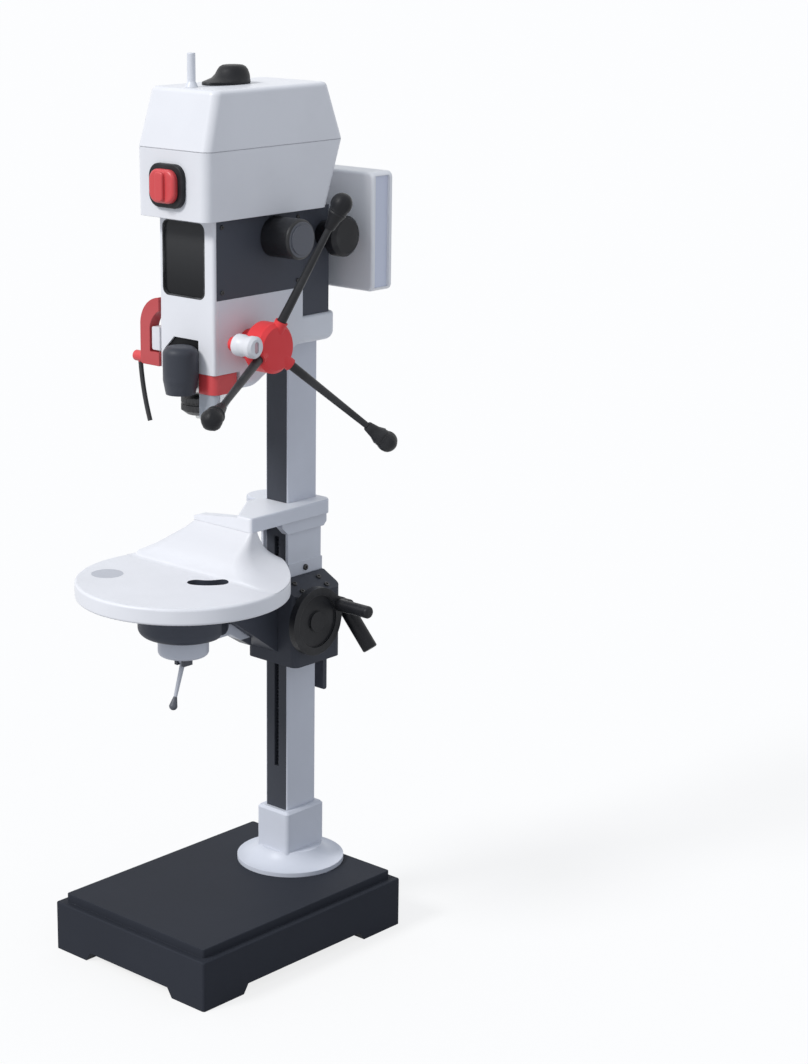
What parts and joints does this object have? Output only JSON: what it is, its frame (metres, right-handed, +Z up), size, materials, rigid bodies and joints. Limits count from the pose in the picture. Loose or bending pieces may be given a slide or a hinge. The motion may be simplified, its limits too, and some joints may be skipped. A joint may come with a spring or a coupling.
{
  "type": "pillar drill",
  "caption": "Floor-standing pillar drill: hollow base, box column, rack-lifted round table, belt-driven head with lever-fed quill, chuck, swing guard and turning main switch.",
  "frame": {"origin": "middle of the base's underside, on the floor, at the centre of the floor bolt pattern", "axes": "+X the machine's right (feed lever side), +Y its back, +Z up along the column"},
  "size_m": [0.459, 0.623, 1.71],
  "materials": {
    "white_paint": "satin",
    "grey_paint": "satin",
    "dark_paint": "satin",
    "red_paint": "gloss",
    "red_plastic": "gloss",
    "black_plastic": "gloss",
    "matt_black": "matt",
    "white_plastic": "satin",
    "bright_steel": "ground",
    "dark_steel": "blackened",
    "dark_window": "gloss",
    "clear_shield": "clear",
    "lamp_lens": "frosted",
    "belt_rubber": "matt",
    "motor_alloy": "cast"
  },
  "bodies": {
    "stand": {"base_plate": "dark_paint", "column_foot": "grey_paint", "foot_bolts": "dark_steel", "column": "grey_paint", "column_rail": "dark_paint", "lift_rack": "dark_steel", "head_casting": "grey_paint", "front_cover": "white_paint", "window_glass": "dark_window", "niche_liner": "matt_black", "side_panels": "dark_paint", "head_screws": "dark_steel", "deck_plate": "bright_steel", "sleeve_bearing": "bright_steel", "motor": "motor_alloy", "drive_belt": "belt_rubber", "rear_shroud": "dark_paint", "cover_tray": "white_paint", "cover_lid": "white_paint", "top_post": "bright_steel", "switch_surround": "black_plastic", "control_box": "white_paint", "spring_box": "grey_paint", "return_spring": "dark_steel", "guard_pin": "bright_steel", "light_housing": "matt_black", "light_lens": "lamp_lens", "side_bracket": "red_paint", "side_boss": "white_plastic"},
    "carriage": {"carriage": "grey_paint", "lift_housing": "dark_paint", "table": "white_paint", "table_insert": "grey_paint", "table_arm": "dark_paint", "lower_boss": "grey_paint"},
    "lift_crank": {"lift_shaft": "bright_steel", "lift_wheel": "black_plastic", "crank_grip": "black_plastic"},
    "clamp_lever": {"clamp_lever": "black_plastic"},
    "table_lever": {"table_lever": "bright_steel", "table_lever_knob": "black_plastic"},
    "quill": {"quill": "bright_steel", "quill_bearings": "bright_steel"},
    "spindle": {"spindle": "bright_steel", "chuck_body": "dark_steel", "chuck_jaws": "bright_steel"},
    "capstan": {"feed_shaft": "bright_steel", "feed_hub": "red_paint", "feed_levers": "dark_steel", "feed_grips": "black_plastic"},
    "drive_pulley": {"spindle_pulley": "bright_steel"},
    "motor_pulley": {"motor_pulley": "bright_steel"},
    "guard": {"guard_band": "red_plastic", "guard_shield": "clear_shield"},
    "lock_lever": {"lock_lever": "red_plastic"},
    "setting_knob": {"setting_knob": "white_plastic"},
    "switch_knob": {"switch_knob": "red_plastic"},
    "speed_knob": {"speed_knob": "black_plastic"},
    "tension_knob": {"tension_knob": "black_plastic"},
    "top_latch": {"top_latch": "black_plastic"}
  },
  "joints": [
    {"name": "table_lift", "type": "slide", "parent": "stand", "child": "carriage", "axis": [0, 0, 1], "range_m": [-0.29, 0.11]},
    {"name": "lift_crank", "type": "hinge", "parent": "carriage", "child": "lift_crank", "pos_m": [0, 0.122, 0.643], "axis": [1, 0, 0], "range_deg": [-316, 832]},
    {"name": "column_clamp", "type": "hinge", "parent": "carriage", "child": "clamp_lever", "pos_m": [0.1, 0.219, 0.648], "axis": [1, 0, 0], "range_deg": [-10, 60]},
    {"name": "table_lock", "type": "hinge", "parent": "carriage", "child": "table_lever", "pos_m": [0, -0.12, 0.598], "axis": [1, 0, 0], "range_deg": [-60, 30]},
    {"name": "quill_feed", "type": "slide", "parent": "stand", "child": "quill", "axis": [0, 0, -1], "range_m": [0, 0.1], "stiffness_N_per_m": 500, "springref_m": -0.16},
    {"name": "feed_capstan", "type": "hinge", "parent": "stand", "child": "capstan", "pos_m": [0, -0.0155, 1.191], "axis": [1, 0, 0], "range_deg": [-1, 178]},
    {"name": "spindle_drive", "type": "hinge", "parent": "stand", "child": "drive_pulley", "pos_m": [0, -0.07, 1.46], "axis": [0, 0, 1], "continuous": true},
    {"name": "spindle_spin", "type": "hinge", "parent": "quill", "child": "spindle", "pos_m": [0, -0.07, 1.2], "axis": [0, 0, 1], "continuous": true},
    {"name": "motor_spin", "type": "hinge", "parent": "stand", "child": "motor_pulley", "pos_m": [0, 0.052, 1.46], "axis": [0, 0, 1], "continuous": true},
    {"name": "guard_swing", "type": "hinge", "parent": "stand", "child": "guard", "pos_m": [0.062, -0.047, 1.12], "axis": [0, 0, 1], "range_deg": [0, 80]},
    {"name": "quill_lock", "type": "hinge", "parent": "stand", "child": "lock_lever", "pos_m": [-0.12, -0.095, 1.153], "axis": [1, 0, 0], "range_deg": [-40, 40]},
    {"name": "setting_turn", "type": "hinge", "parent": "capstan", "child": "setting_knob", "pos_m": [0.118, -0.09109, 1.20569], "axis": [1, 0, 0], "range_deg": [-150, 150]},
    {"name": "main_switch", "type": "hinge", "parent": "stand", "child": "switch_knob", "pos_m": [-0.005, -0.14, 1.482], "axis": [0, -1, 0], "range_deg": [0, 90]},
    {"name": "speed_turn", "type": "hinge", "parent": "stand", "child": "speed_knob", "pos_m": [0.07, 0.052, 1.38], "axis": [1, 0, 0], "range_deg": [-135, 135]},
    {"name": "tension_turn", "type": "hinge", "parent": "stand", "child": "tension_knob", "pos_m": [0.064, 0.19, 1.37], "axis": [1, 0, 0], "range_deg": [-180, 180]},
    {"name": "latch_turn", "type": "hinge", "parent": "stand", "child": "top_latch", "pos_m": [-0.014, 0.031, 1.65], "axis": [0, 0, 1], "range_deg": [0, 90]}
  ],
  "couplings": [
    {"joint": "lift_crank", "follows": "table_lift", "rad_per_m": -50},
    {"joint": "feed_capstan", "follows": "quill_feed", "rad_per_m": 30.769},
    {"joint": "spindle_spin", "follows": "spindle_drive", "ratio": 1},
    {"joint": "motor_spin", "follows": "spindle_drive", "ratio": 1.4062}
  ]
}
